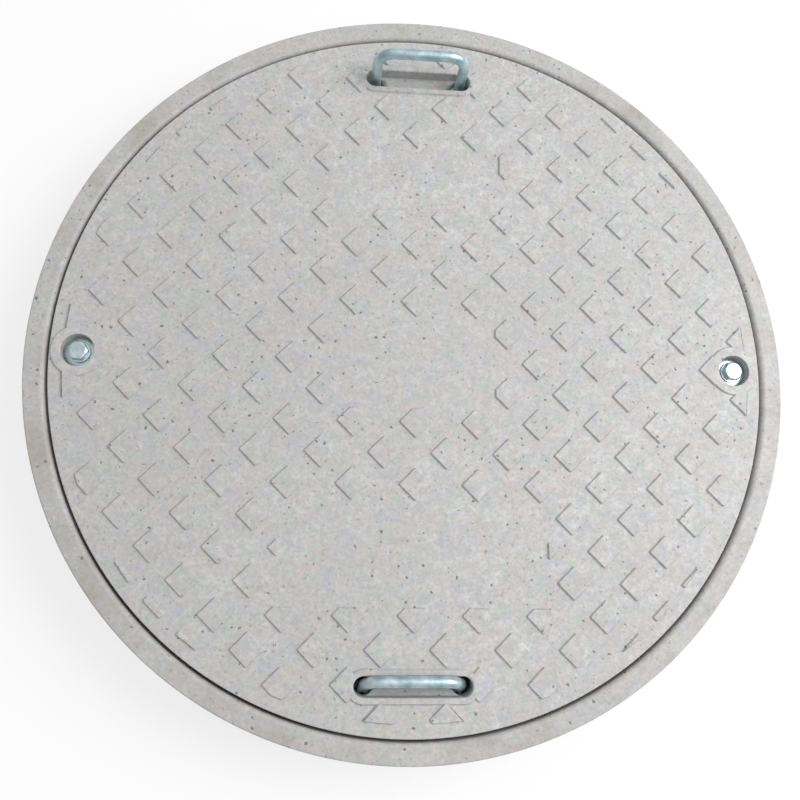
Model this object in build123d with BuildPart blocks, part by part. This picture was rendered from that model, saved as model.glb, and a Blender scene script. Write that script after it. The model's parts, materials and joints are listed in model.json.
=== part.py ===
from build123d import *
from math import cos, radians, sin
import os

os.makedirs("parts", exist_ok=True)

# Round composite manhole cover in its ring frame, in millimetres.
# The origin is the centre of the frame's underside, and +Z points up.
# The handles stand at +Y and -Y and the lock bolts at +X and -X.

# Frame ring
frame_height = 100.0
top_ring_radius = 420.0
top_ring_width = 22.5
top_ring_depth = 12.0
frame_wall = 9.0
base_spread = 18.0
base_thickness = 10.0
inner_edge_round = 5.0
outer_edge_round = 2.0
gusset_count = 24
gusset_thickness = 6.0
gusset_setback = 4.0
anchor_count = 8
anchor_edge = 14.0
anchor_hole_radius = 5.0

# Seat for the cover, and the seal on it
seat_width = 16.0
seat_thickness = 12.0
seal_thickness = 3.0
seal_width = 12.0
seal_setback = 2.0

# Cover shell
cover_gap = 3.5
cover_depth = 50.0
cover_plate = 12.0
cover_rim = 12.0
cover_edge_round = 1.2
rib_count = 16
rib_thickness = 8.0
rib_setback = 6.0
hub_radius = 30.0
inner_ring_rib = 130.0
outer_ring_rib_inset = 88.0

# Raised tread of square studs that stand on their corners
tread_height = 2.5
tread_draft = 27.0
tread_pitch = 34.09
tread_stud = 26.4
tread_border = 14.0
smallest_stud_area = 110.0
plain_fields = ((0.0, 215.5, 190.0, 76.0), (0.0, -1.5, 176.0, 104.0), (0.0, -210.0, 286.0, 109.0))

# Lock bolts, in size M12
bolt_inset = 30.0
bolt_length = 70.0
thread_radius = 6.0
thread_clearance = 0.1
bolt_head_width = 19.0
bolt_head_height = 7.5
bolt_tip_chamfer = 1.5
washer_radius = 12.0
washer_thickness = 2.5
washer_bore_clearance = 0.5
recess_radius = 17.5
recess_edge_round = 1.0
bolt_collar_margin = 11.1
head_below_collar = 0.5
sleeve_wall = 2.25
sleeve_clearance = 0.75
sleeve_flange = 1.5
sleeve_flange_gap = 1.0
bolt_boss_wall = 16.0
bond_gap = 0.05
insert_wall = 3.9
insert_length = 22.0
lug_wall = 14.0
lug_floor = 3.0
drain_gap = 1.0

# Lifting handles, bent from round bar
handle_inset = 51.0
rod_radius = 6.0
leg_spacing = 100.0
bend_radius = 20.0
bend_clearance = 1.0
lowered_depth = 4.0
raised_height = 50.0
half_raised_height = 8.5
half_raised_lean = 15.0
lean_depth = 15.5
leg_hole_spacing = 102.4
slot_side_gap = 4.3
slot_edge_round = 2.0
slot_collar_margin = 7.5
trough_depth = 14.5
handle_boss_floor = 10.0
handle_boss_margin = 9.7
stop_gap = 0.3
stop_washer_radius = 15.0
stop_washer_thickness = 3.0
lock_nut_width = 19.0
lock_nut_height = 6.0
leg_end_stub = 2.0
leg_end_chamfer = 1.0

# Places worked out from the sizes above
pocket_radius = top_ring_radius - top_ring_width
wall_radius = pocket_radius + frame_wall
base_radius = top_ring_radius + base_spread
top_ring_z = frame_height - top_ring_depth
cover_radius = pocket_radius - cover_gap
cover_bottom_z = frame_height - cover_depth
seat_z = cover_bottom_z - seal_thickness
seat_bottom_z = seat_z - seat_thickness
opening_radius = cover_radius - seat_width
plate_z = frame_height - cover_plate
collar_z = frame_height + tread_height
bolt_radius = cover_radius - bolt_inset
head_seat_z = collar_z - head_below_collar - bolt_head_height
sleeve_top_z = head_seat_z - washer_thickness
recess_floor_z = sleeve_top_z - sleeve_flange
sleeve_bore = thread_radius + sleeve_clearance
sleeve_radius = sleeve_bore + sleeve_wall
insert_radius = thread_radius + thread_clearance + insert_wall
lug_radius = insert_radius + lug_wall
drain_radius = thread_radius + drain_gap
lug_bottom_z = seat_z - insert_length - lug_floor
handle_radius = cover_radius - handle_inset
slot_width = 2 * (rod_radius + slot_side_gap)
trough_floor_z = collar_z - trough_depth
handle_boss_z = trough_floor_z - handle_boss_floor
stop_stack = stop_washer_thickness + lock_nut_height + leg_end_stub
leg_length = frame_height + raised_height - handle_boss_z + stop_gap + stop_stack
bolt_spots = ((bolt_radius, 0), (-bolt_radius, 0))
slot_spots = ((0, handle_radius), (0, -handle_radius))


def upright_plate(outline, thickness):
    with BuildPart() as plate:
        with BuildSketch(Plane.XZ):
            with BuildLine():
                Polyline(*outline, close=True)
            make_face()
        extrude(amount=thickness / 2, both=True)
    return plate.part


# Handle positions: the plane its legs stand on, and the bar bent to reach a given height
handle_poses = (
    ("top", slot_spots[0], 0.0, raised_height),
    ("bottom", slot_spots[1], half_raised_lean, half_raised_height),
)


def leg_plane(spot, lean):
    lean_side = -1 if spot[1] > 0 else 1
    tilt = (0, lean_side * sin(radians(lean)), cos(radians(lean)))
    return Plane(origin=(*spot, collar_z - lean_depth), x_dir=(1, 0, 0), z_dir=tilt)


def bent_bar(legs, bar_height, radius):
    bar_plane = Plane(origin=legs.origin, x_dir=legs.x_dir, z_dir=-legs.y_dir)
    leg_end = bar_height - leg_length
    with BuildPart() as bar:
        with BuildLine(bar_plane) as route:
            FilletPolyline(
                (-leg_spacing / 2, leg_end),
                (-leg_spacing / 2, bar_height),
                (leg_spacing / 2, bar_height),
                (leg_spacing / 2, leg_end),
                radius=bend_radius,
            )
        with BuildSketch(Plane(origin=route.line @ 0, x_dir=legs.x_dir, z_dir=legs.z_dir)):
            Circle(radius)
        sweep()
    return bar.part


# Frame: top ring, wall, seat ledge and base flange, stiffened by gussets inside and out
outer_gusset = upright_plate(
    (
        (wall_radius - gusset_setback, base_thickness - gusset_setback),
        (base_radius - gusset_setback, base_thickness - gusset_setback),
        (base_radius - gusset_setback, base_thickness),
        (top_ring_radius - gusset_setback, top_ring_z + gusset_setback),
        (wall_radius - gusset_setback, top_ring_z + gusset_setback),
    ),
    gusset_thickness,
)
seat_gusset = upright_plate(
    (
        (pocket_radius + gusset_setback, base_thickness),
        (opening_radius + gusset_setback, seat_bottom_z),
        (opening_radius + gusset_setback, seat_bottom_z + gusset_setback),
        (pocket_radius + gusset_setback, seat_bottom_z + gusset_setback),
    ),
    gusset_thickness,
)

with BuildPart() as frame:
    with BuildSketch(Plane.XZ):
        with BuildLine():
            Polyline(
                (pocket_radius, 0),
                (base_radius, 0),
                (base_radius, base_thickness),
                (wall_radius, base_thickness),
                (wall_radius, top_ring_z),
                (top_ring_radius, top_ring_z),
                (top_ring_radius, frame_height),
                (pocket_radius, frame_height),
                (pocket_radius, seat_z),
                (opening_radius, seat_z),
                (opening_radius, seat_bottom_z),
                (pocket_radius, seat_bottom_z),
                close=True,
            )
        make_face()
    revolve(axis=Axis.Z)
    fillet(frame.edges().group_by(Axis.Z)[-1].sort_by(SortBy.RADIUS)[0], radius=inner_edge_round)
    fillet(frame.edges().group_by(Axis.Z)[-1].sort_by(SortBy.RADIUS)[-1], radius=outer_edge_round)
    with PolarLocations(0, gusset_count, start_angle=180 / gusset_count):
        add(outer_gusset)
        add(seat_gusset)
    # Lugs that carry the threaded inserts, joined to the wall
    with BuildSketch(Plane.XY.offset(lug_bottom_z)):
        with Locations(*bolt_spots):
            Circle(lug_radius)
        lug_reach = pocket_radius + frame_wall / 2 - bolt_radius
        with Locations((bolt_radius + lug_reach / 2, 0), (-bolt_radius - lug_reach / 2, 0)):
            Rectangle(lug_reach, 2 * lug_radius)
    extrude(amount=seat_z - lug_bottom_z)
    with BuildSketch(Plane.XY.offset(seat_z)):
        with Locations(*bolt_spots):
            Circle(insert_radius + bond_gap)
    extrude(amount=-insert_length, mode=Mode.SUBTRACT)
    with BuildSketch(Plane.XY.offset(lug_bottom_z)):
        with Locations(*bolt_spots):
            Circle(drain_radius)
    extrude(amount=lug_floor, mode=Mode.SUBTRACT)
    with BuildSketch(Plane.XY):
        with PolarLocations(base_radius - anchor_edge, anchor_count):
            Circle(anchor_hole_radius)
    extrude(amount=base_thickness, mode=Mode.SUBTRACT)
frame.part.label = "frame"
export_step(frame.part, "parts/frame.step")

# Flat rubber seal lying on the seat ledge
with BuildPart() as frame_seal:
    with BuildSketch(Plane.XY.offset(seat_z)):
        Circle(opening_radius + seal_setback + seal_width)
        Circle(opening_radius + seal_setback, mode=Mode.SUBTRACT)
    extrude(amount=seal_thickness)
frame_seal.part.label = "frame_seal"
export_step(frame_seal.part, "parts/frame_seal.step")


# Cover: ribbed shell with studs on top, bolt recesses and handle troughs
def tread_spots():
    reach = int(cover_radius // tread_pitch) + 1
    steps = range(-reach, reach + 1)
    return [(i * tread_pitch, j * tread_pitch) for i in steps for j in steps if (i + j) % 2 == 0]


with BuildSketch(Plane.XY.offset(frame_height)) as stud_outlines:
    with Locations(*tread_spots()):
        Rectangle(tread_stud, tread_stud, rotation=45)
    Circle(cover_radius - tread_border, mode=Mode.INTERSECT)
    with Locations(*slot_spots):
        SlotCenterToCenter(leg_hole_spacing, slot_width + slot_collar_margin, mode=Mode.SUBTRACT)
    for field_x, field_y, field_length, field_width in plain_fields:
        with Locations((field_x, field_y)):
            Rectangle(field_length, field_width, mode=Mode.SUBTRACT)
studs = [stud for stud in stud_outlines.sketch.faces() if stud.area > smallest_stud_area]

# Room in each trough for the handle's bends when it is lowered
lowered_rooms = []
for name, spot, lean, height in handle_poses:
    legs = leg_plane(spot, lean)
    lowered_height = (frame_height - lowered_depth - legs.origin.Z) / cos(radians(lean))
    lowered_rooms.append(bent_bar(legs, lowered_height, rod_radius + bend_clearance))

with BuildPart() as cover:
    with BuildSketch(Plane.XZ):
        with BuildLine():
            Polyline(
                (0, plate_z),
                (cover_radius - cover_rim, plate_z),
                (cover_radius - cover_rim, cover_bottom_z),
                (cover_radius, cover_bottom_z),
                (cover_radius, frame_height),
                (0, frame_height),
                close=True,
            )
        make_face()
    revolve(axis=Axis.Z)
    fillet(cover.edges().group_by(Axis.Z)[-1], radius=cover_edge_round)
    # Ribs and hub under the plate
    rib_z = cover_bottom_z + rib_setback
    rib_reach = cover_radius - cover_rim / 2
    with BuildSketch(Plane.XY.offset(rib_z)):
        for ring_radius in (handle_radius - outer_ring_rib_inset, inner_ring_rib):
            Circle(ring_radius + rib_thickness / 2)
            Circle(ring_radius - rib_thickness / 2, mode=Mode.SUBTRACT)
        Circle(hub_radius)
        with PolarLocations(rib_reach / 2, rib_count):
            Rectangle(rib_reach, rib_thickness)
    extrude(amount=plate_z - rib_z)
    # Bosses for the bolt sleeves and the handle legs
    with BuildSketch(Plane.XY.offset(cover_bottom_z)):
        with Locations(*bolt_spots):
            Circle(sleeve_radius + bolt_boss_wall)
    extrude(amount=cover_depth - cover_plate)
    with BuildSketch(Plane.XY.offset(handle_boss_z)):
        with Locations(*slot_spots):
            SlotCenterToCenter(leg_hole_spacing, slot_width + 2 * handle_boss_margin)
    extrude(amount=plate_z - handle_boss_z)
    # Studs, and raised collars around the recesses and troughs
    extrude(studs, amount=tread_height, taper=tread_draft)
    with BuildSketch(Plane.XY.offset(frame_height)):
        with Locations(*bolt_spots):
            Circle(recess_radius + bolt_collar_margin)
        with Locations(*slot_spots):
            SlotCenterToCenter(leg_hole_spacing, slot_width + 2 * slot_collar_margin)
    extrude(amount=tread_height, taper=tread_draft)
    # Recess and sleeve bore at each bolt
    with Locations(*[(x, y, collar_z) for x, y in bolt_spots]):
        CounterBoreHole(
            radius=sleeve_radius + bond_gap,
            counter_bore_radius=recess_radius,
            counter_bore_depth=collar_z - recess_floor_z,
            depth=collar_z - cover_bottom_z,
        )
    # Trough for each handle's bar, with a hole at each end for its leg
    with BuildSketch(Plane.XY.offset(collar_z)):
        with Locations(*slot_spots):
            SlotCenterToCenter(leg_hole_spacing, slot_width)
    extrude(amount=-trough_depth, mode=Mode.SUBTRACT)
    with BuildSketch(Plane.XY.offset(collar_z)):
        with Locations(*slot_spots):
            with GridLocations(leg_hole_spacing, 0, 2, 1):
                Circle(slot_width / 2)
    extrude(amount=handle_boss_z - collar_z, mode=Mode.SUBTRACT)
    for room in lowered_rooms:
        add(room, mode=Mode.SUBTRACT)
    top_edges = cover.edges().group_by(Axis.Z)[-1]
    mouth_arcs = top_edges.filter_by(GeomType.CIRCLE)
    slot_edges = mouth_arcs.filter_by(lambda edge: abs(edge.radius - slot_width / 2) < bond_gap)
    slot_edges += top_edges.filter_by(lambda edge: abs(edge.length - leg_hole_spacing) < bond_gap)
    recess_edges = mouth_arcs.filter_by(lambda edge: abs(edge.radius - recess_radius) < bond_gap)
    fillet(slot_edges, radius=slot_edge_round)
    fillet(recess_edges, radius=recess_edge_round)
cover.part.label = "cover"
export_step(cover.part, "parts/cover.step")


def ring(centre, bottom_z, height, outer_radius, bore_radius):
    with BuildPart() as piece:
        with BuildSketch(Plane.XY.offset(bottom_z)):
            with Locations(centre):
                Circle(outer_radius)
                Circle(bore_radius, mode=Mode.SUBTRACT)
        extrude(amount=height)
    return piece


# Bolt fittings: threaded insert in the lug, flanged sleeve in the cover, washer and bolt
def lock_sleeve(centre):
    with BuildPart() as piece:
        with BuildSketch(Plane.XY.offset(cover_bottom_z)):
            with Locations(centre):
                Circle(sleeve_radius)
        extrude(amount=sleeve_top_z - cover_bottom_z)
        with BuildSketch(Plane.XY.offset(recess_floor_z)):
            with Locations(centre):
                Circle(recess_radius - sleeve_flange_gap)
        extrude(amount=sleeve_flange)
        with BuildSketch(Plane.XY.offset(cover_bottom_z)):
            with Locations(centre):
                Circle(sleeve_bore)
        extrude(amount=sleeve_top_z - cover_bottom_z, mode=Mode.SUBTRACT)
    return piece


def lock_bolt(centre):
    head_top_z = head_seat_z + bolt_head_height
    axis_plane = Plane(origin=(*centre, 0), x_dir=(1, 0, 0), z_dir=(0, -1, 0))
    corner_radius = bolt_head_width / 2 / cos(radians(30))
    corner_drop = (corner_radius - bolt_head_width / 2) / 2
    with BuildPart() as piece:
        with BuildSketch(Plane.XY.offset(head_seat_z)):
            with Locations(centre):
                RegularPolygon(bolt_head_width / 2, 6, major_radius=False)
        extrude(amount=bolt_head_height)
        with BuildSketch(axis_plane):
            with BuildLine():
                Polyline(
                    (0, head_seat_z),
                    (corner_radius, head_seat_z),
                    (corner_radius, head_top_z - corner_drop),
                    (bolt_head_width / 2 - corner_drop, head_top_z),
                    (0, head_top_z),
                    close=True,
                )
            make_face()
        revolve(axis=Axis((*centre, 0), (0, 0, 1)), mode=Mode.INTERSECT)
        with BuildSketch(Plane.XY.offset(head_seat_z)):
            with Locations(centre):
                Circle(thread_radius)
        extrude(amount=-bolt_length)
        chamfer(piece.edges().group_by(Axis.Z)[0], length=bolt_tip_chamfer)
    return piece


for side, centre in zip(("right", "left"), bolt_spots):
    insert = ring(
        centre, seat_z - insert_length, insert_length, insert_radius, thread_radius + thread_clearance
    )
    insert.part.label = side + "_thread_insert"
    export_step(insert.part, "parts/" + side + "_thread_insert.step")

    sleeve = lock_sleeve(centre)
    sleeve.part.label = side + "_bolt_sleeve"
    export_step(sleeve.part, "parts/" + side + "_bolt_sleeve.step")

    washer = ring(
        centre, sleeve_top_z, washer_thickness, washer_radius, thread_radius + washer_bore_clearance
    )
    washer.part.label = side + "_bolt_washer"
    export_step(washer.part, "parts/" + side + "_bolt_washer.step")

    bolt = lock_bolt(centre)
    bolt.part.label = side + "_lock_bolt"
    export_step(bolt.part, "parts/" + side + "_lock_bolt.step")


# Handles: a bent bar whose threaded legs carry a stop washer and a lock nut each
def lifting_handle(legs, bar_height):
    with BuildPart() as piece:
        add(bent_bar(legs, bar_height, rod_radius))
        chamfer(piece.edges().group_by(legs.location.z_axis)[0], length=leg_end_chamfer)
    return piece


def stop_washer(legs, leg_x, bottom):
    with BuildPart() as piece:
        with BuildSketch(legs.offset(bottom)):
            with Locations((leg_x, 0)):
                Circle(stop_washer_radius)
                Circle(rod_radius + washer_bore_clearance, mode=Mode.SUBTRACT)
        extrude(amount=stop_washer_thickness)
    return piece


def lock_nut(legs, leg_x, bottom):
    with BuildPart() as piece:
        with BuildSketch(legs.offset(bottom)):
            with Locations((leg_x, 0)):
                RegularPolygon(lock_nut_width / 2, 6, major_radius=False)
                Circle(rod_radius + bond_gap, mode=Mode.SUBTRACT)
        extrude(amount=lock_nut_height)
    return piece


for name, spot, lean, height in handle_poses:
    legs = leg_plane(spot, lean)
    bar_height = (frame_height + height - legs.origin.Z) / cos(radians(lean))
    handle = lifting_handle(legs, bar_height)
    handle.part.label = name + "_handle"
    export_step(handle.part, "parts/" + name + "_handle.step")

    nut_bottom = bar_height - leg_length + leg_end_stub
    for side, leg_x in (("right", leg_spacing / 2), ("left", -leg_spacing / 2)):
        washer = stop_washer(legs, leg_x, nut_bottom + lock_nut_height)
        washer.part.label = name + "_" + side + "_stop_washer"
        export_step(washer.part, "parts/" + name + "_" + side + "_stop_washer.step")

        nut = lock_nut(legs, leg_x, nut_bottom)
        nut.part.label = name + "_" + side + "_lock_nut"
        export_step(nut.part, "parts/" + name + "_" + side + "_lock_nut.step")
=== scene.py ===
import json
from math import cos, pi, radians, sin, tan

import bmesh
import bpy
from mathutils import Euler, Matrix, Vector, geometry


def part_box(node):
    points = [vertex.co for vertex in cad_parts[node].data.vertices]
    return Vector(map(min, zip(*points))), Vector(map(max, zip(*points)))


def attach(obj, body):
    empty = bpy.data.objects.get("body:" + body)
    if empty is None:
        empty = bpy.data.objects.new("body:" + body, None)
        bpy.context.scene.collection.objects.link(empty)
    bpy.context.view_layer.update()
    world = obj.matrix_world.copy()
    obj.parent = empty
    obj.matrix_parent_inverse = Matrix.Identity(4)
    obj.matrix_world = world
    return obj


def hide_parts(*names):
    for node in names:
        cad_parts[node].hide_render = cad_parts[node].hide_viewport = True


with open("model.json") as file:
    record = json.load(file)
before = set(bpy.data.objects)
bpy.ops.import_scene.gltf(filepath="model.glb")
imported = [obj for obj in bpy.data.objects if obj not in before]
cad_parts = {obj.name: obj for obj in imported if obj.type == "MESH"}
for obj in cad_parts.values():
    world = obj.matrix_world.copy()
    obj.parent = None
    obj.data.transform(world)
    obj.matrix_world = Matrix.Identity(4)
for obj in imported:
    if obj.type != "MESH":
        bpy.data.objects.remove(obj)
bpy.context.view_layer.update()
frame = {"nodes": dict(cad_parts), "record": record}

nodes = frame["nodes"]
print("frame loaded with", len(nodes), "nodes")


# Shader writing: a wrapped socket does its own sums, and a board adds every other node
class Value:
    def __init__(self, board, socket):
        self.board = board
        self.socket = socket

    def sum(self, operation, first, second):
        return self.board.add("ShaderNodeMath", {"operation": operation}, {0: first, 1: second})

    def __add__(self, other):
        return self.sum("ADD", self, other)

    def __radd__(self, other):
        return self.sum("ADD", other, self)

    def __sub__(self, other):
        return self.sum("SUBTRACT", self, other)

    def __rsub__(self, other):
        return self.sum("SUBTRACT", other, self)

    def __mul__(self, other):
        return self.sum("MULTIPLY", self, other)

    def __rmul__(self, other):
        return self.sum("MULTIPLY", other, self)

    def __pow__(self, other):
        return self.sum("POWER", self, other)

    def __rpow__(self, other):
        return self.sum("POWER", other, self)

    def __lt__(self, other):
        return self.sum("LESS_THAN", self, other)

    def __gt__(self, other):
        return self.sum("GREATER_THAN", self, other)


class Board:
    def __init__(self, tree):
        self.tree = tree
        tree.nodes.clear()

    def add(self, kind, settings, inputs, output=0):
        node = self.tree.nodes.new(kind)
        for name, value in settings.items():
            if name == "stops":
                self.setStops(node.color_ramp, value)
            else:
                setattr(node, name, value)
        for name, value in inputs.items():
            if isinstance(value, Value):
                self.tree.links.new(value.socket, node.inputs[name])
            else:
                node.inputs[name].default_value = value
        return Value(self, node.outputs[output]) if node.outputs else None

    def setStops(self, ramp, stops):
        while len(ramp.elements) < len(stops):
            ramp.elements.new(0.5)
        for element, (place, shade) in zip(ramp.elements, stops):
            element.position = place
            element.color = shade if len(shade) == 4 else (*shade, 1)

    def places(self):
        return self.add("ShaderNodeTexCoord", {}, {}, "Object")

    def noise(self, vector, scale, detail=2.0, roughness=0.5, output="Fac"):
        inputs = {"Vector": vector, "Scale": scale, "Detail": detail, "Roughness": roughness}
        return self.add("ShaderNodeTexNoise", {}, inputs, output)

    def cells(self, vector, scale, output="Distance"):
        return self.add("ShaderNodeTexVoronoi", {}, {"Vector": vector, "Scale": scale}, output)

    def fit(self, value, low, high, newLow=0.0, newHigh=1.0):
        inputs = {"Value": value, "From Min": low, "From Max": high, "To Min": newLow, "To Max": newHigh}
        return self.add("ShaderNodeMapRange", {"clamp": True}, inputs)

    def mix(self, factor, first, second, blend="MIX"):
        settings = {"data_type": "RGBA", "blend_type": blend}
        return self.add("ShaderNodeMix", settings, {0: factor, 6: first, 7: second}, 2)

    def shift(self, vector, offset):
        return self.add("ShaderNodeVectorMath", {"operation": "ADD"}, {0: vector, 1: offset})

    def split(self, vector, output):
        return self.add("ShaderNodeSeparateXYZ", {}, {0: vector}, output)

    def bump(self, height, strength, distance):
        inputs = {"Height": height, "Strength": strength, "Distance": distance}
        return self.add("ShaderNodeBump", {}, inputs)

    def finish(self, inputs):
        surface = self.add("ShaderNodeBsdfPrincipled", {}, inputs)
        self.add("ShaderNodeOutputMaterial", {}, {"Surface": surface})


def newMaterial(name):
    material = bpy.data.materials.new(name)
    material.use_nodes = True
    return material, Board(material.node_tree)


# Moulded composite: warm grey resin with soft pink, blue and green clouds, mottle, grain and specks
cloudTints = (
    ((0.555, 0.5, 0.48), 31.0, 3.1),
    ((0.47, 0.475, 0.56), 85.0, 7.7),
    ((0.46, 0.535, 0.47), 105.0, 12.4),
    ((0.575, 0.525, 0.5), 75.0, 17.3),
)
speckKinds = (
    {"scale": 170.0, "radius": 0.24, "share": 0.8, "shade": (0.2, 0.195, 0.19), "depth": 0.4, "offset": 1.3},
    {"scale": 112.0, "radius": 0.19, "share": 0.5, "shade": (0.09, 0.09, 0.1), "depth": 0.75, "offset": 4.9},
    {"scale": 90.0, "radius": 0.14, "share": 0.2, "shade": (0.25, 0.18, 0.14), "depth": 0.55, "offset": 8.2},
    {"scale": 110.0, "radius": 0.1, "share": 0.25, "shade": (0.95, 0.95, 0.95), "depth": 0.35, "offset": 9.6},
)


def compositeMaterial(name, tone, grime):
    material, board = newMaterial(name)
    place = board.places()
    colour = board.mix(board.fit(board.noise(place, 4.0, 3.0), 0.35, 0.65), tone["dark"], tone["light"])
    for tint, scale, offset in cloudTints:
        cloud = board.noise(board.shift(place, (offset, offset, 0)), scale, 3.0, 0.6)
        colour = board.mix(board.fit(cloud, 0.46, 0.64) * tone["cloud"], colour, (*tint, 1))
    mottle = board.noise(board.shift(place, (2, 6, 1)), 120.0, 3.0, 0.6)
    colour = board.mix(board.fit(mottle, 0.4, 0.6, 0.0, 0.3), colour, (0.36, 0.355, 0.35, 1))
    grain = board.noise(place, 260.0, 3.0, 0.65)
    colour = board.mix(board.fit(grain, 0.38, 0.62, 0.0, 0.42), colour, (0.34, 0.335, 0.33, 1))
    wobble = board.add(
        "ShaderNodeMix",
        {"data_type": "VECTOR"},
        {0: 0.004, 4: place, 5: board.noise(place, 420.0, 1.0, 0.5, "Color")},
        1,
    )
    pits = 0.0
    for speck in speckKinds:
        offset = (speck["offset"], speck["offset"], speck["offset"])
        spot = board.shift(wobble, offset)
        pick = board.split(board.cells(spot, speck["scale"], "Color"), "X")
        size = board.fit(pick, 0.0, speck["share"], speck["radius"], 0.3 * speck["radius"])
        inside = board.cells(spot, speck["scale"]) < size
        mask = inside * (pick < speck["share"])
        colour = board.mix(mask * speck["depth"], colour, (*speck["shade"], 1))
        pits = pits + mask
    if grime > 0:
        dirt = board.noise(board.shift(place, (5, 2, 0)), 16.0, 5.0, 0.65)
        colour = board.mix(board.fit(dirt, 0.48, 0.72) * grime, colour, (0.3, 0.26, 0.2, 1))
    roughness = board.fit(board.noise(place, 90.0, 3.0), 0.3, 0.7, 0.5, 0.64)
    height = grain * 0.5 + board.noise(place, 900.0, 2.0) * 0.35 - pits * 0.3
    board.finish({
        "Base Color": colour,
        "Roughness": roughness,
        "Normal": board.bump(height, 0.35, 0.0004),
        "Specular IOR Level": 0.45,
    })
    return material


def zincMaterial(name, finish):
    material, board = newMaterial(name)
    place = board.places()
    haze = board.noise(place, 60.0, 4.0, 0.6)
    colour = board.mix(board.fit(haze, 0.35, 0.65), finish["cool"], finish["pale"])
    stain = board.noise(board.shift(place, (3, 1, 2)), 150.0, 4.0, 0.6)
    stained = board.fit(stain, 0.62, 0.7)
    colour = board.mix(stained * finish["stain"], colour, (0.2, 0.19, 0.17, 1))
    scuff = board.noise(place, 1400.0, 2.0, 0.6)
    roughness = board.fit(haze, 0.3, 0.7, finish["smooth"], finish["dull"]) + stained * 0.15
    board.finish({
        "Base Color": colour,
        "Metallic": 1.0 - stained * 0.35,
        "Roughness": roughness,
        "Normal": board.bump(scuff + haze * 2.0, 0.25, 0.0002),
    })
    return material


def rubberMaterial():
    material, board = newMaterial("sealRubber")
    place = board.places()
    dust = board.noise(place, 50.0, 4.0, 0.6)
    board.finish({
        "Base Color": board.mix(
            board.fit(dust, 0.45, 0.75, 0.0, 0.5),
            (0.018, 0.018, 0.019, 1),
            (0.12, 0.11, 0.1, 1),
        ),
        "Roughness": board.fit(dust, 0.3, 0.7, 0.5, 0.75),
        "Normal": board.bump(board.noise(place, 800.0, 2.0), 0.3, 0.0002),
    })
    return material


def brassMaterial():
    material, board = newMaterial("insertBrass")
    place = board.places()
    tarnish = board.noise(place, 120.0, 4.0, 0.6)
    board.finish({
        "Base Color": board.mix(board.fit(tarnish, 0.4, 0.7), (0.72, 0.52, 0.22, 1), (0.42, 0.28, 0.13, 1)),
        "Metallic": 1.0,
        "Roughness": board.fit(tarnish, 0.3, 0.7, 0.25, 0.5),
        "Normal": board.bump(board.noise(place, 900.0, 2.0), 0.2, 0.0002),
    })
    return material


coverTone = {"dark": (0.545, 0.535, 0.53, 1), "light": (0.64, 0.635, 0.635, 1), "cloud": 0.7}
frameTone = {"dark": (0.49, 0.475, 0.455, 1), "light": (0.585, 0.57, 0.555, 1), "cloud": 0.65}
handleZinc = {
    "cool": (0.37, 0.53, 0.58, 1),
    "pale": (0.72, 0.84, 0.87, 1),
    "stain": 0.5,
    "smooth": 0.34,
    "dull": 0.5,
}
boltZinc = {
    "cool": (0.42, 0.56, 0.6, 1),
    "pale": (0.7, 0.78, 0.79, 1),
    "stain": 0.3,
    "smooth": 0.25,
    "dull": 0.4,
}
coverComposite = compositeMaterial("coverComposite", coverTone, 0.0)
frameComposite = compositeMaterial("frameComposite", frameTone, 0.5)
handleSteel = zincMaterial("handleSteel", handleZinc)
boltSteel = zincMaterial("boltSteel", boltZinc)
slotMaterials = {
    "cover_composite": coverComposite,
    "frame_composite": frameComposite,
    "seal_rubber": rubberMaterial(),
    "insert_brass": brassMaterial(),
    "fastener_zinc": boltSteel,
    "handle_zinc": handleSteel,
}
print("materials made:", len(slotMaterials))


# Mesh making: rows of points joined into skins, flat sheets with holes, and rounded outlines
class Shape:
    def __init__(self):
        self.points = []
        self.faces = []

    def row(self, points):
        start = len(self.points)
        self.points.extend(points)
        return range(start, len(self.points))

    def join(self, rows, closed=True):
        for near, far in zip(rows, rows[1:]):
            count = len(near)
            for i in range(count if closed else count - 1):
                j = (i + 1) % count
                self.faces.append((near[i], near[j], far[j], far[i]))

    def sweep(self, outline, profile, place=None):
        rows = []
        for out, height in profile:
            spots = [(x, y, height) for x, y in outline(out)]
            rows.append(self.row([place(*spot) for spot in spots] if place else spots))
        self.join(rows)
        return rows

    def cap(self, row, up=True):
        self.faces.append(tuple(row) if up else tuple(reversed(row)))

    def sheet(self, loops, height, up=True):
        # The first loop is the edge of the sheet, and the others are holes in it
        spots, rims = [], []
        for loop in loops:
            rims.append(list(range(len(spots), len(spots) + len(loop))))
            spots += [Vector(spot) for spot in loop]
        flat = geometry.delaunay_2d_cdt(spots, [], rims, 1, 1e-7)
        row = self.row([(spot.x, spot.y, height) for spot in flat[0]])
        for face, inside in zip(flat[2], flat[5]):
            if list(inside) == [0]:
                corners = [row[i] for i in face]
                self.faces.append(tuple(corners if up else reversed(corners)))

    def build(self, name, body, slotName, replaced=(), sharpAngle=38, keepFlat=True):
        mesh = bpy.data.meshes.new(name)
        mesh.from_pydata(self.points, [], self.faces)
        mesh.validate()
        cleaned = bmesh.new()
        cleaned.from_mesh(mesh)
        bmesh.ops.dissolve_degenerate(cleaned, dist=1e-7, edges=cleaned.edges)
        cleaned.to_mesh(mesh)
        cleaned.free()
        mesh.shade_smooth()
        mesh.set_sharp_from_angle(angle=radians(sharpAngle))
        mesh.materials.append(slotMaterials[slotName])
        piece = bpy.data.objects.new(name, mesh)
        bpy.context.scene.collection.objects.link(piece)
        if keepFlat:
            piece.modifiers.new("flatFaces", "WEIGHTED_NORMAL").keep_sharp = True
        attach(piece, body)
        if replaced:
            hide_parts(*replaced)
        print("made", name, "with", len(mesh.polygons), "faces")
        return piece


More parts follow.
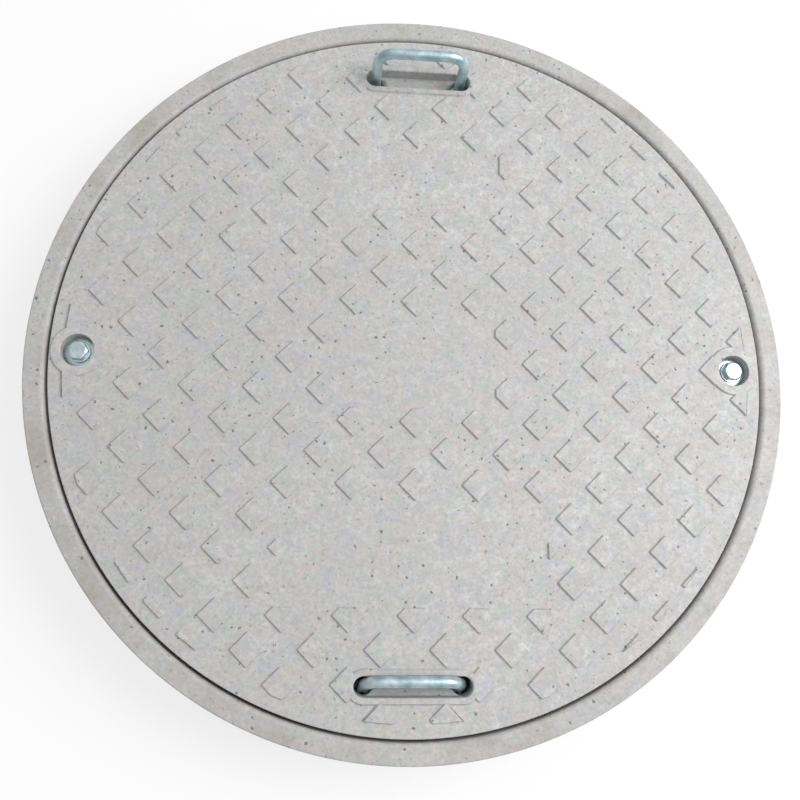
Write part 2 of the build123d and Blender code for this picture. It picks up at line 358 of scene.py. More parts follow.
def roundOutline(centre, radius, halfLength=0.0, steps=256):
    # A circle, or with a half length, a slot whose ends are half circles
    turns = [(2 * pi * i / steps, 0.0) for i in range(steps)]
    if halfLength:
        half = steps // 2
        turns = [(pi * i / half - pi / 2, halfLength) for i in range(half + 1)]
        turns += [(pi * i / half + pi / 2, -halfLength) for i in range(half + 1)]

    def outline(out):
        reach = radius + out
        return [
            (centre[0] + shift + reach * cos(turn), centre[1] + reach * sin(turn))
            for turn, shift in turns
        ]
    return outline


def loopOutline(loop, inset, cornerSteps=4):
    # Rows at any offset from a loop keep round corners, because they grow from corners set in from it
    cores = []
    for i, here in enumerate(loop):
        before, after = loop[i - 1], loop[(i + 1) % len(loop)]
        along = [(here - before).normalized(), (after - here).normalized()]
        normals = [Vector((step.y, -step.x)) for step in along]
        turn = along[0].cross(along[1])
        mitre = (normals[0] + normals[1]) / max(0.2, 1 + normals[0].dot(normals[1]))
        core = here - mitre * inset
        if turn > 0.25:
            steps = range(cornerSteps + 1)
            ways = [normals[0].lerp(normals[1], i / cornerSteps).normalized() for i in steps]
        else:
            ways = [mitre]
        cores.append((core, ways))

    def outline(out):
        return [tuple(core + way * (inset + out)) for core, ways in cores for way in ways]
    return outline


def arcProfile(centre, radius, start, end, steps=5):
    turns = [radians(start + (end - start) * i / steps) for i in range(steps + 1)]
    return [(centre[0] + radius * cos(turn), centre[1] + radius * sin(turn)) for turn in turns]


def onRadius(angle):
    # Puts an outline drawn in radius and height onto a plate that stands at that angle round the axis
    def place(radius, height, side):
        return (radius * cos(angle) + side * sin(angle), radius * sin(angle) - side * cos(angle), height)
    return place


def standingPlate(shape, corners, thickness, angle, edgeRound):
    outline = loopOutline([Vector(corner) for corner in corners], 2 * edgeRound, 2)
    half = thickness / 2
    profile = arcProfile((-edgeRound, edgeRound - half), edgeRound, -90, 0, 3)
    profile += arcProfile((-edgeRound, half - edgeRound), edgeRound, 0, 90, 3)
    rows = shape.sweep(outline, profile, onRadius(angle))
    shape.cap(rows[0], False)
    shape.cap(rows[-1])


# Places taken from the frame
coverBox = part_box("cover")
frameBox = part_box("frame")
coverRadius = coverBox[1].x
baseRadius = frameBox[1].x
ringTop = frameBox[1].z
coverBottom = coverBox[0].z
treadTop = coverBox[1].z
boltSpots = []
for side in ("left", "right"):
    low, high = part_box(side + "_lock_bolt")
    boltSpots.append(((low.x + high.x) / 2, 0.0))

leans = {"top": 0.0, "bottom": 15.0}

# Cover: field, studs, collars, rim and the ribs below
coverSizes = {
    "rimWidth": 0.012,
    "rimRound": 0.0012,
    "bottomRound": 0.001,
    "plate": 0.012,
    "draft": 27.0,
    "baseFlare": 0.0002,
    "footSteps": ((2.0, -0.0001), (1.2, 0.00006), (0.4, 0.00024)),  # flares out, height above the field
    "sideStart": 0.0006,
    "topRound": 0.0006,
    "studPitch": 0.03409,
    "studSide": 0.0264,
    "studInset": 0.0021,
    "studDrop": 0.00004,
    "coreReach": 0.97,
    "treadBorder": 0.014,
    "smallestStud": 0.00011,
    "shortestSide": 0.0007,
    "straightEnough": 0.01,
    "plainFields": ((0.0, 0.2155, 0.19, 0.076), (0.0, -0.0015, 0.176, 0.104), (0.0, -0.21, 0.286, 0.109)),
    "recessRadius": 0.0175,
    "recessFloor": 0.0905,
    "recessRound": 0.001,
    "recessCollar": 0.0111,
    "plateHole": 0.015,
    "bossStep": 0.00005,
    "sleeveBore": 0.00905,
    "boltBoss": 0.025,
    "slotInset": 0.051,
    "slotSpacing": 0.1024,
    "slotRadius": 0.0103,
    "slotRound": 0.002,
    "slotCollar": 0.0075,
    "troughFloor": 0.088,
    "slotBoss": 0.02,
    "slotBossBottom": 0.078,
    "mouthBend": 0.02,
    "mouthRod": 0.007,
    "mouthBar": 0.096,
    "mouthPivot": 0.087,
    "mouthLegs": 0.05,
    "mouthSkin": 1e-5,
    "ribNotch": 0.0015,
    "ribBottom": 0.056,
    "ribThickness": 0.008,
    "ribRound": 0.0012,
    "ribStep": 0.00004,
    "ribOverlap": 0.004,
    "fillerRound": 0.0008,
    "ribCount": 16,
    "ringRibs": (0.255, 0.13),
    "hubRadius": 0.03,
}
slotSpots = [(0.0, side * (coverRadius - coverSizes["slotInset"])) for side in (1, -1)]
slotHalf = coverSizes["slotSpacing"] / 2


def raisedSide(out, height):
    # Profile of a raised part from its foot, flared into the field, up to its rounded top edge
    c = coverSizes
    lean = tan(radians(c["draft"]))
    foot = ringTop
    top = foot + height
    r = c["topRound"]
    topEdge = out - height * lean
    flare = c["baseFlare"]
    profile = [(out + flares * flare, foot + rise) for flares, rise in c["footSteps"]]
    profile.append((out - c["sideStart"] * lean, foot + c["sideStart"]))
    bend = radians(c["draft"])
    centre = (topEdge - r * tan((pi / 2 - bend) / 2), top - r)
    profile += arcProfile(centre, r, c["draft"], 90, 4)
    return profile


def cutStuds():
    c = coverSizes
    reach = int(coverRadius // c["studPitch"]) + 1
    half = c["studSide"] / 2 ** 0.5
    spots, loops = [], []

    def addLoop(loop):
        loops.append(list(range(len(spots), len(spots) + len(loop))))
        spots.extend(Vector(spot) for spot in loop)

    for i in range(-reach, reach + 1):
        for j in range(-reach, reach + 1):
            x, y = i * c["studPitch"], j * c["studPitch"]
            if (i + j) % 2 == 0 and Vector((x, y)).length < coverRadius:
                addLoop([(x + half, y), (x, y + half), (x - half, y), (x, y - half)])
    studCount = len(loops)
    addLoop(roundOutline((0, 0), coverRadius - c["treadBorder"])(0))
    treadEdge = len(loops) - 1
    for x, y, length, width in c["plainFields"]:
        addLoop([(x + a * length / 2, y + b * width / 2) for a, b in ((1, -1), (1, 1), (-1, 1), (-1, -1))])
    fields = range(treadEdge + 1, len(loops))
    for spot in slotSpots:
        addLoop(roundOutline(spot, c["slotRadius"] + c["slotCollar"] / 2, slotHalf, 48)(0))
    for spot in boltSpots:
        addLoop(roundOutline(spot, c["recessRadius"] + c["recessCollar"] / 2, 0, 48)(0))
    openings = range(fields[-1] + 1, len(loops))
    cut = geometry.delaunay_2d_cdt(spots, [], loops, 0, 1e-6)
    places, faces, owners = cut[0], cut[2], cut[5]
    pieces = {}
    for face, owner in zip(faces, owners):
        stud = [k for k in owner if k < studCount]
        if stud and treadEdge in owner and not any(k in fields for k in owner):
            hidden = any(k in openings for k in owner)
            inSlot = any(k in openings[:len(slotSpots)] for k in owner)
            pieces.setdefault(stud[0], []).append((face, hidden, inSlot))
    outlines = []
    for stud, parts in sorted(pieces.items()):
        counted = [face for face, hidden, inSlot in parts if not inSlot]
        area = sum(geometry.area_tri(*[places[i] for i in face]) for face in counted)
        kept = [face for face, hidden, inSlot in parts if not hidden]
        if area > c["smallestStud"] and kept:
            outlines += edgeLoops(places, kept)
    return outlines


def edgeLoops(places, faces):
    follows = {}
    for face in faces:
        for i, corner in enumerate(face):
            follows[(corner, face[(i + 1) % len(face)])] = True
    edges = {a: b for a, b in follows if (b, a) not in follows}
    loops = []
    while edges:
        start = min(edges)
        loop, here = [], start
        while here in edges:
            loop.append(here)
            here = edges.pop(here)
        loops.append(tidyLoop([places[i] for i in loop]))
    return [loop for loop in loops if len(loop) > 2]


def tidyLoop(loop):
    # Leaves out points on a straight side and those too near the one before
    nearest = coverSizes["shortestSide"]
    kept = []
    for spot in loop:
        if not kept or (spot - kept[-1]).length > nearest:
            kept.append(spot)
    if len(kept) > 1 and (kept[0] - kept[-1]).length < nearest:
        kept.pop()
    turns = []
    for i, here in enumerate(kept):
        before, after = here - kept[i - 1], kept[(i + 1) % len(kept)] - here
        if abs(before.normalized().cross(after.normalized())) > coverSizes["straightEnough"]:
            turns.append(here)
    return turns


def inBendRoom(x, y, z, lean):
    # Whether a point, measured from the slot's middle, is in the room of the lowered bar's bend
    c = coverSizes
    up = (z - c["mouthPivot"]) * cos(lean) + y * sin(lean)
    across = y * cos(lean) - (z - c["mouthPivot"]) * sin(lean)
    barHeight = (c["mouthBar"] - c["mouthPivot"]) / cos(lean)
    run = x - (c["mouthLegs"] - c["mouthBend"])
    rise = up - (barHeight - c["mouthBend"])
    return ((run * run + rise * rise) ** 0.5 - c["mouthBend"]) ** 2 + across ** 2 < c["mouthRod"] ** 2


def halve(test, outside, inside, steps=24):
    # Closes in between a point that fails the test and one that passes, and gives the last that fails
    for i in range(steps):
        middle = (outside + inside) / 2
        outside, inside = (outside, middle) if test(middle) else (middle, inside)
    return outside


def mouthRows(lean, turns, count=5):
    # Rows from the trough floor down to the leg hole's edge, as (distance out, across, height)
    c = coverSizes
    floor = c["troughFloor"]
    below = floor - c["mouthSkin"]
    rows = [[] for i in range(count + 1)]
    for turn in turns:
        y = c["slotRadius"] * sin(turn)
        edge = slotHalf + c["slotRadius"] * cos(turn)
        start = edge
        if inBendRoom(edge, y, below, lean):
            straight = c["mouthLegs"] - c["mouthBend"]
            start = halve(lambda x: inBendRoom(x, y, below, lean), straight, edge)
        for i, row in enumerate(rows):
            x = start + (edge - start) * i / count
            z = floor
            if i and edge - start > c["mouthSkin"]:
                bottom = c["slotBossBottom"]
                z = halve(lambda height: not inBendRoom(x, y, height, lean), below, bottom)
            row.append((x, y, z))
    return rows


def makeCover():
    c = coverSizes
    shape = Shape()
    steps = 256
    # Rim: up the inside, round the bottom and the outside, and over onto the field
    inner = coverRadius - c["rimWidth"]
    plateBottom = ringTop - c["plate"]
    b, r = c["bottomRound"], c["rimRound"]
    profile = [(inner, plateBottom)]
    profile += arcProfile((inner + b, coverBottom + b), b, 180, 270, 4)
    profile += arcProfile((coverRadius - b, coverBottom + b), b, 270, 360, 4)
    profile += arcProfile((coverRadius - r, ringTop - r), r, 0, 90, 6)
    profile.append((coverRadius - 0.003, ringTop))
    rows = shape.sweep(roundOutline((0, 0), 0.0, 0.0, steps), profile)
    fieldEdge = roundOutline((0, 0), profile[-1][0], 0.0, steps)(0)
    slotReach = c["slotRadius"] + c["slotCollar"] / 2
    recessReach = c["recessRadius"] + c["recessCollar"] / 2
    fieldHoles = [roundOutline(spot, slotReach, slotHalf, 64)(0) for spot in slotSpots]
    fieldHoles += [roundOutline(spot, recessReach, 0, 64)(0) for spot in boltSpots]
    shape.sheet([fieldEdge] + fieldHoles, ringTop)
    plateEdge = roundOutline((0, 0), inner + 0.0005, 0.0, steps)(0)
    plateHoles = [roundOutline(spot, c["plateHole"], slotHalf, 48)(0) for spot in slotSpots]
    plateHoles += [roundOutline(spot, c["plateHole"], 0, 48)(0) for spot in boltSpots]
    shape.sheet([plateEdge] + plateHoles, plateBottom, False)
    # Collars with the troughs and recesses inside them
    height = treadTop - ringTop
    for spot, handleName in zip(slotSpots, ("top", "bottom")):
        lean = radians(leans[handleName])
        slot = roundOutline(spot, c["slotRadius"], slotHalf, 96)
        r = c["slotRound"]
        profile = raisedSide(c["slotCollar"], height)
        profile += arcProfile((r, treadTop - r), r, 90, 180, 6)
        profile.append((0.0, c["troughFloor"]))
        shape.sweep(slot, profile)
        half = [radians(90 + 180 * i / 32) for i in range(33)]
        mouth = mouthRows(lean, half)
        ends = []
        for way in (1, -1):
            rows = [shape.row([(spot[0] + way * x, spot[1] + y, z) for x, y, z in row]) for row in mouth]
            ends.append(rows[0])
            bottom = c["slotBossBottom"]
            below = shape.row([(spot[0] + way * x, spot[1] + y, bottom) for x, y, z in mouth[-1]])
            order = rows + [below]
            shape.join(order if way > 0 else order[::-1], False)
            outer = [radians(-90 + 180 * i / 32) for i in range(33)]
            radius = c["slotRadius"]
            arc = [
                (spot[0] + way * (slotHalf + radius * cos(turn)), spot[1] + radius * sin(turn))
                for turn in outer
            ]
            wall = [shape.row([(x, y, z) for x, y in arc]) for z in (c["troughFloor"], c["slotBossBottom"])]
            shape.join(wall if way > 0 else wall[::-1], False)
        shape.join([ends[1], ends[0]], False)
        boss = roundOutline(spot, c["slotBoss"], slotHalf, 64)
        b = c["bottomRound"]
        profile = arcProfile((-b, c["slotBossBottom"] + b), b, 270, 360, 3) + [(0.0, plateBottom)]
        shape.sweep(boss, profile)
        centres = [(spot[0] + way * slotHalf, spot[1]) for way in (-1, 1)]
        holes = [roundOutline(centre, c["slotRadius"], 0, 64)(0) for centre in centres]
        shape.sheet([boss(-b)] + holes, c["slotBossBottom"], False)
    for spot in boltSpots:
        recess = roundOutline(spot, c["recessRadius"], 0, 96)
        r = c["recessRound"]
        bore = c["sleeveBore"] - c["recessRadius"]
        profile = raisedSide(c["recessCollar"], height) + arcProfile((r, treadTop - r), r, 90, 180, 5)
        bossBottom = coverBottom + c["bossStep"]
        profile += [(0.0, c["recessFloor"]), (bore, c["recessFloor"]), (bore, bossBottom)]
        b = c["bottomRound"]
        edge = c["boltBoss"] - c["recessRadius"]
        profile += arcProfile((edge - b, bossBottom + b), b, 270, 360, 3) + [(edge, plateBottom)]
        shape.sweep(recess, profile)
    # Ribs, ring ribs and hub
    for i in range(c["ribCount"]):
        end = coverRadius - c["rimWidth"] / 2
        if i % (c["ribCount"] // 2) == 0:
            end = abs(boltSpots[0][0]) - c["boltBoss"] + c["ribOverlap"]
        start = c["hubRadius"] - c["ribOverlap"]
        turn = 2 * pi * i / c["ribCount"]
        top = plateBottom + 0.001
        if i % (c["ribCount"] // 2) == c["ribCount"] // 4:
            top = plateBottom - c["ribNotch"]
            slotMiddle = slotSpots[0][1]
            for near, far in ((start, slotMiddle - c["slotBoss"]), (slotMiddle + c["slotBoss"], end)):
                filler = (
                    (near, top - c["ribOverlap"]),
                    (far, top - c["ribOverlap"]),
                    (far, plateBottom + 0.001),
                    (near, plateBottom + 0.001),
                )
                standingPlate(shape, filler, c["ribThickness"] - 0.0001, turn, c["fillerRound"])
        corners = ((start, c["ribBottom"]), (end, c["ribBottom"]), (end, top), (start, top))
        standingPlate(shape, corners, c["ribThickness"], turn, c["ribRound"])
    for k, radius in enumerate(c["ringRibs"]):
        half = c["ribThickness"] / 2
        bottom = c["ribBottom"] + c["ribStep"] * (k + 1)
        b = c["ribRound"]
        profile = [(radius - half, plateBottom)] + arcProfile((radius - half + b, bottom + b), b, 180, 270, 3)
        profile += arcProfile((radius + half - b, bottom + b), b, 270, 360, 3)
        profile.append((radius + half, plateBottom))
        shape.sweep(roundOutline((0, 0), 0.0, 0.0, 192), profile)
    hub = roundOutline((0, 0), c["hubRadius"], 0, 64)
    b = c["ribRound"]
    profile = arcProfile((-b, c["ribBottom"] - c["ribStep"] + b), b, 270, 360, 3)
    profile.append((0.0, plateBottom))
    rows = shape.sweep(hub, profile)
    shape.cap(rows[0], False)
    # Studs
    outlines = cutStuds()
    for loop in outlines:
        edge = sum((loop[i] - loop[i - 1]).length for i in range(len(loop)))
        area = abs(sum(loop[i - 1].cross(loop[i]) for i in range(len(loop)))) / 2
        inset = min(c["studInset"], 0.8 * area / edge)
        # A narrow stud's top edge stops before its own core, or more of its top would fold over
        side = raisedSide(0.0, height - c["studDrop"])
        profile = [(max(out, -c["coreReach"] * inset), z) for out, z in side]
        rows = shape.sweep(loopOutline(loop, inset), profile)
        shape.cap(rows[-1])
    print("studs:", len(outlines))
    return shape.build("coverShell", "cover", "cover_composite", ["cover"])


makeCover()

# Frame: ring, wall, seat ledge and base flange, with gussets and the lugs for the inserts
frameSizes = {
    "ringWidth": 0.0225,
    "ringOuter": 0.42,
    "ringDepth": 0.012,
    "wall": 0.009,
    "innerRound": 0.005,
    "outerRound": 0.002,
    "seatInner": 0.378,
    "seatTop": 0.047,
    "seatBottom": 0.035,
    "baseThickness": 0.01,
    "smallRound": 0.001,
    "anchorCircle": 0.424,
    "anchorHole": 0.005,
    "anchorCount": 8,
    "gussetCount": 24,
    "gussetThickness": 0.006,
    "gussetRound": 0.0008,
    "gussetInset": 0.004,
    "overlap": 0.003,
    "lugRadius": 0.024,
    "lugBottom": 0.022,
    "insertPocket": 0.01005,
    "insertFloor": 0.025,
    "drainRadius": 0.007,
    "lugCorner": 0.002,
    "lugDrop": 0.00005,
}


def makeFrame():
    f = frameSizes
    shape = Shape()
    pocket = f["ringOuter"] - f["ringWidth"]
    wall = pocket + f["wall"]
    ringBottom = ringTop - f["ringDepth"]
    base, s = f["baseThickness"], f["smallRound"]
    lap, inset = f["overlap"], f["gussetInset"]
    inner, outer = f["innerRound"], f["outerRound"]
    circle = roundOutline((0, 0), 0.0, 0.0, 256)
    profile = [(wall, base), (wall, ringBottom)]
    profile += arcProfile((f["ringOuter"] - s, ringBottom + s), s, 270, 360, 3)
    profile += arcProfile((f["ringOuter"] - outer, ringTop - outer), outer, 0, 90, 6)
    profile += arcProfile((pocket + inner, ringTop - inner), inner, 90, 180, 8)
    profile += [(pocket, f["seatTop"])]
    profile += arcProfile((f["seatInner"] + s, f["seatTop"] - s), s, 90, 180, 3)
    profile += arcProfile((f["seatInner"] + s, f["seatBottom"] + s), s, 180, 270, 3)
    profile += [(pocket, f["seatBottom"]), (pocket, 0.0)]
    shape.sweep(circle, profile)
    flange = arcProfile((baseRadius - s, s), s, 270, 360, 3)
    flange += arcProfile((baseRadius - s, base - s), s, 0, 90, 3)
    shape.sweep(circle, flange)
    circleRadius = f["anchorCircle"]
    anchorTurns = [2 * pi * i / f["anchorCount"] for i in range(f["anchorCount"])]
    anchors = [
        roundOutline((circleRadius * cos(turn), circleRadius * sin(turn)), f["anchorHole"], 0, 32)
        for turn in anchorTurns
    ]
    holes = [anchor(0.0) for anchor in anchors]
    shape.sheet([circle(baseRadius - s), circle(wall)] + holes, base)
    shape.sheet([circle(baseRadius - s), circle(pocket)] + holes, 0.0, False)
    for anchor in anchors:
        shape.sweep(anchor, [(0.0, base), (0.0, 0.0)])
    for i in range(f["gussetCount"]):
        turn = 2 * pi * (i + 0.5) / f["gussetCount"]
        outerPlate = (
            (wall - lap, base - lap),
            (baseRadius - inset, base - lap),
            (baseRadius - inset, base),
            (f["ringOuter"] - inset, ringBottom + lap),
            (wall - lap, ringBottom + lap),
        )
        standingPlate(shape, outerPlate, f["gussetThickness"], turn, f["gussetRound"])
        seatPlate = (
            (pocket + lap, base),
            (pocket + lap, f["seatBottom"] + lap),
            (f["seatInner"] + inset, f["seatBottom"] + lap),
            (f["seatInner"] + inset, f["seatBottom"]),
        )
        standingPlate(shape, seatPlate, f["gussetThickness"], turn, f["gussetRound"])
    for spot in boltSpots:
        way = 1 if spot[0] > 0 else -1
        side = [(spot[0] - way * f["lugRadius"] * cos(turn), spot[1] - way * f["lugRadius"] * sin(turn))
                for turn in [radians(-90 + 180 * i / 24) for i in range(25)]]
        ends = [(way * (pocket + lap), side[-1][1]), (way * (pocket + lap), side[0][1])]
        lug = loopOutline([Vector(corner) for corner in side + ends], f["lugCorner"], 1)
        top = f["seatTop"] - f["lugDrop"]
        profile = arcProfile((-s, f["lugBottom"] + s), s, 270, 360, 3)
        profile += arcProfile((-s, top - s), s, 0, 90, 3)
        shape.sweep(lug, profile)
        pocketHole = roundOutline(spot, f["insertPocket"], 0, 48)
        drain = roundOutline(spot, f["drainRadius"], 0, 48)
        shape.sheet([lug(-s), pocketHole(0.0)], top)
        shape.sheet([lug(-s), drain(0.0)], f["lugBottom"], False)
        inward = f["drainRadius"] - f["insertPocket"]
        floorHeight = f["insertFloor"]
        steps = [(0.0, top), (0.0, floorHeight), (inward, floorHeight), (inward, f["lugBottom"])]
        shape.sweep(pocketHole, steps)
    return shape.build("frameRing", "frame", "frame_composite", ["frame"])


makeFrame()


# Threads: rings of points whose radius follows the thread's own helix
def threadRadius(rod, pitch, depth, along, angle):
    phase = (along / pitch - angle / (2 * pi)) % 1.0
    rise = min(1.0, max(0.0, abs(phase - 0.5) * 2.6 - 0.15))
    return rod - depth * (1 - rise)


# Lock bolts: dished hexagon head, plain shank and threaded end
boltSizes = {
    "acrossFlats": 0.019,
    "shank": 0.006,
    "pitch": 0.00175,
    "depth": 0.00095,
    "threadLength": 0.03,
    "tip": 0.0015,
    "headHeight": 0.0075,
    "dishRadius": 0.0062,
    "dishDepth": 0.0004,
    "chamferSlope": 1.75,
    "threadSlack": 0.00005,  # keeps the visible bolt inside its solid
    "shankSlack": 0.00002,
    "steps": 72,
}


def makeBolt(side):
    z = boltSizes
    low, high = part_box(side + "_lock_bolt")
    centre = (low + high) / 2
    shape = Shape()
    flat = z["acrossFlats"] / 2
    corner = flat / cos(pi / 6)
    seat = high.z - z["headHeight"]
    turns = [2 * pi * i / z["steps"] for i in range(z["steps"])]

    def ring(radiusAt, height):
        return shape.row([
            (centre.x + radiusAt(turn) * cos(turn), centre.y + radiusAt(turn) * sin(turn), height)
            for turn in turns
        ])

    def hexRadius(turn):
        return flat / cos((turn % (pi / 3)) - pi / 6)

    rows = []
    threadTop = low.z + z["threadLength"]
    count = int(z["threadLength"] / z["pitch"] * 8)
    rod = z["shank"] - z["threadSlack"]
    for i in range(count + 1):
        along = low.z + z["threadLength"] * i / count
        limit = rod - max(0.0, z["tip"] - (along - low.z))
        thread = (rod, z["pitch"], z["depth"], along)
        rows.append(ring(lambda turn: min(limit, threadRadius(*thread, turn)), along))
    shape.cap(rows[0], False)
    for height in (threadTop + 0.0006, seat - 0.0006):
        rows.append(ring(lambda turn: z["shank"] - z["shankSlack"], height))
    rows.append(ring(lambda turn: z["shank"] + 0.0004, seat))
    rows.append(ring(lambda turn: flat - 0.0005, seat))
    cone = (corner - flat) / 2
    heights = [seat + 0.0001, seat + 0.0004]
    heights += [high.z - drop for drop in (0.0026, 0.0018, 0.0012, 0.0007, 0.0003)]
    for height in heights:
        fall = max(0.0, high.z - height)
        reach = flat - cone + fall * z["chamferSlope"]
        if height < seat + 0.0003:
            reach = corner - 0.0006
        rows.append(ring(lambda turn: min(hexRadius(turn), reach), height))
    top = flat - cone
    dish = (
        (top, high.z - 0.00008),
        (top - 0.0005, high.z),
        (z["dishRadius"] + 0.0006, high.z),
        (z["dishRadius"], high.z - 0.0001),
        (z["dishRadius"] - 0.0007, high.z - z["dishDepth"]),
        (0.0012, high.z - z["dishDepth"]),
    )
    for radius, height in dish:
        rows.append(ring(lambda turn: radius, height))
    shape.join(rows)
    shape.cap(rows[-1])
    return shape.build(side + "Bolt", side + "_bolt", "fastener_zinc", [side + "_lock_bolt"], 28)


for side in ("left", "right"):
    makeBolt(side)

# Handles: round bar bent to two legs, threaded at the ends
handleSizes = {
    "rod": 0.006,
    "legSpacing": 0.1,
    "bend": 0.02,
    "pivotHeight": 0.087,
    "legLength": 0.0833,
    "threadLength": 0.024,
    "pitch": 0.00175,
    "depth": 0.0009,
    "tip": 0.001,
    "threadSlack": 0.00004,  # keeps the visible bar inside its solid
    "barSlack": 0.00002,
    "steps": 32,
}


def makeHandle(name, spot):
    h = handleSizes
    lean = radians(leans[name]) * (1 if spot[1] < 0 else -1)
    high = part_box(name + "_handle")[1]
    bar = (high.z - h["rod"] - h["pivotHeight"]) / cos(lean)
    end = bar - h["legLength"]
    half = h["legSpacing"] / 2
    threadRod = h["rod"] - h["threadSlack"]
    shape = Shape()
    rows = []

    def ring(x, along, tilt, radiusAt):
        # The ring's own plane is square to the bar, which has turned by tilt from standing up
        points = []
        for i in range(h["steps"]):
            turn = 2 * pi * i / h["steps"]
            radius = radiusAt(turn)
            across, side = radius * cos(turn), radius * sin(turn)
            px = x + across * cos(tilt)
            pz = along - across * sin(tilt)
            points.append((spot[0] + px, spot[1] + side * cos(lean) + pz * sin(lean),
                           h["pivotHeight"] - side * sin(lean) + pz * cos(lean)))
        rows.append(shape.row(points))

    def plain(turn):
        return h["rod"] - h["barSlack"]

    def leg(x, tilt, heights):
        for along in heights:
            up = along - end
            limit = threadRod - max(0.0, h["tip"] - up)
            thread = (threadRod, h["pitch"], h["depth"], along)
            if up < h["threadLength"]:
                ring(x, along, tilt, lambda turn: min(limit, threadRadius(*thread, turn)))
            else:
                ring(x, along, tilt, plain)

    count = int(h["threadLength"] / h["pitch"] * 8)
    heights = [end + h["threadLength"] * i / count for i in range(count)]
    heights += [end + h["threadLength"] + 0.0005, bar - h["bend"]]
    leg(-half, 0.0, heights)
    for i in range(1, 13):
        turn = pi / 2 * i / 12
        ring(-half + h["bend"] * (1 - cos(turn)), bar - h["bend"] * (1 - sin(turn)), turn, plain)
    for i in range(13):
        turn = pi / 2 * (1 - i / 12)
        ring(half - h["bend"] * (1 - cos(turn)), bar - h["bend"] * (1 - sin(turn)), pi - turn, plain)
    leg(half, pi, list(reversed(heights[:-1])))
    shape.join(rows)
    shape.cap(rows[0], False)
    shape.cap(rows[-1])
    return shape.build(name + "Handle", name + "_handle", "handle_zinc", [name + "_handle"], 50, False)


makeHandle("top", slotSpots[0])
makeHandle("bottom", slotSpots[1])

# Small hardware and the seal keep their frame meshes, with softened edges
softEdges = {"width": 0.0003, "angle": 40, "segments": 2}
nodeSlots = {part["node"]: part["material_slot"] for part in frame["record"]["subparts"]}
for name, piece in nodes.items():
    piece.data.materials.clear()
    piece.data.materials.append(slotMaterials[nodeSlots[name]])
    if name in ("cover", "frame"):
        continue
    piece.modifiers.new("weld", "WELD").merge_threshold = 1e-5
    edge = piece.modifiers.new("softEdge", "BEVEL")
    edge.width = softEdges["width"]
    edge.segments = softEdges["segments"]
    edge.limit_method = "ANGLE"
    edge.angle_limit = radians(softEdges["angle"])
    edge.harden_normals = True
    for face in piece.data.polygons:
        face.use_smooth = True
print("edges softened")

# Floor, light and camera
studio = {
    "floorSize": 12.0,
    "floorShade": (0.93, 0.93, 0.93, 1),
    "floorLift": 0.7,
    "shaftInner": 0.38,
    "shaftOuter": 0.396,
    "skyTop": (1.0, 1.0, 1.0, 1),
    "skyLow": (0.42, 0.45, 0.48, 1),
    "skyStrength": 0.76,
    "skySlope": 0.3,
    "skyAcross": 0.85,
    "skyBack": 0.5,
    "keyPlace": (1.465, 0.206, 1.86),
    "keySize": 1.3,
    "keyPower": 35.0,
}
camera = {
    "place": (-0.08725, -0.21602, 0.85638),
    "turn": (11.238, -4.801, 0.672),
    "lens": 36.06,
    "sensor": 36.0,
}

bpy.ops.mesh.primitive_plane_add(size=studio["floorSize"])
floor = bpy.context.object
floor.name = "floor"
floorMaterial, board = newMaterial("paleFloor")
rays = {name: board.add("ShaderNodeLightPath", {}, {}, name) for name in ("Is Camera Ray", "Is Glossy Ray")}
matt = board.add("ShaderNodeBsdfDiffuse", {}, {"Color": studio["floorShade"]})
glow = board.add("ShaderNodeEmission", {}, {"Color": (1, 1, 1, 1), "Strength": 1.0})
spotOnFloor = board.places()
away = (board.split(spotOnFloor, "X") ** 2.0 + board.split(spotOnFloor, "Y") ** 2.0) ** 0.5
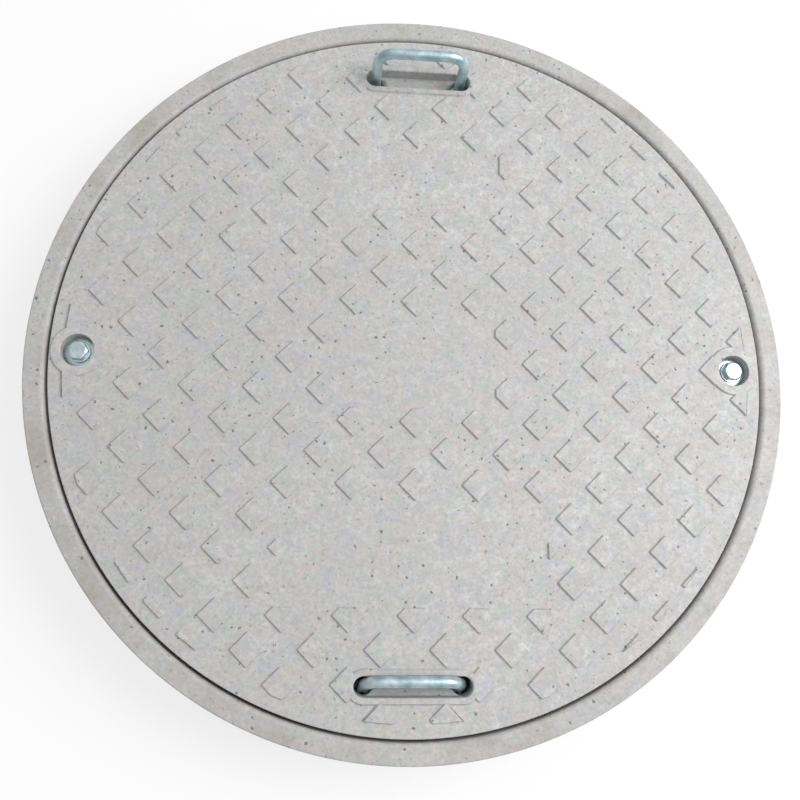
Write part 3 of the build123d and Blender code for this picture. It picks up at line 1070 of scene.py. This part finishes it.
# The floor under the cover isn't lifted to white, so it stays dark through the leg holes
# A band of it at the foot of the ring's wall still is, and shows when the cover is lifted
outside = board.fit(away, studio["shaftInner"], studio["shaftOuter"])
seen = (rays["Is Camera Ray"] + rays["Is Glossy Ray"]) * studio["floorLift"] * outside
mixed = board.add("ShaderNodeMixShader", {}, {0: seen, 1: matt, 2: glow})
board.add("ShaderNodeOutputMaterial", {}, {"Surface": mixed})
floor.data.materials.append(floorMaterial)

world = bpy.data.worlds.new("studioWorld")
bpy.context.scene.world = world
world.use_nodes = True
board = Board(world.node_tree)
direction = board.add("ShaderNodeTexCoord", {}, {}, "Generated")
upward = board.split(direction, "Z")
sideways = board.split(direction, "X") * studio["skyAcross"] + board.split(direction, "Y") * studio["skyBack"]
sky = board.mix(board.fit(upward, 0.0, 0.7), studio["skyLow"], studio["skyTop"])
strength = (sideways * studio["skySlope"] + 1.0) * studio["skyStrength"]
light = board.add("ShaderNodeBackground", {}, {"Color": sky, "Strength": strength})
white = board.add("ShaderNodeBackground", {}, {"Color": (1, 1, 1, 1), "Strength": 1.0})
cameraRay = board.add("ShaderNodeLightPath", {}, {}, "Is Camera Ray")
shown = board.add("ShaderNodeMixShader", {}, {0: cameraRay, 1: light, 2: white})
board.add("ShaderNodeOutputWorld", {}, {"Surface": shown})

keyLamp = bpy.data.lights.new("keyLamp", "AREA")
keyLamp.size = studio["keySize"]
keyLamp.energy = studio["keyPower"]
keyObject = bpy.data.objects.new("keyLamp", keyLamp)
keyObject.location = studio["keyPlace"]
keyObject.rotation_euler = (Vector((0, 0, ringTop)) - keyObject.location).to_track_quat("-Z", "Y").to_euler()
bpy.context.scene.collection.objects.link(keyObject)

cameraData = bpy.data.cameras.new("camera")
cameraData.lens = camera["lens"]
cameraData.sensor_width = camera["sensor"]
cameraObject = bpy.data.objects.new("camera", cameraData)
cameraObject.location = Vector(camera["place"]) + Vector((0, 0, ringTop))
cameraObject.rotation_euler = Euler([radians(angle) for angle in camera["turn"]])
bpy.context.scene.collection.objects.link(cameraObject)
bpy.context.scene.camera = cameraObject
bpy.context.scene.view_settings.view_transform = "Standard"
print("studio set")
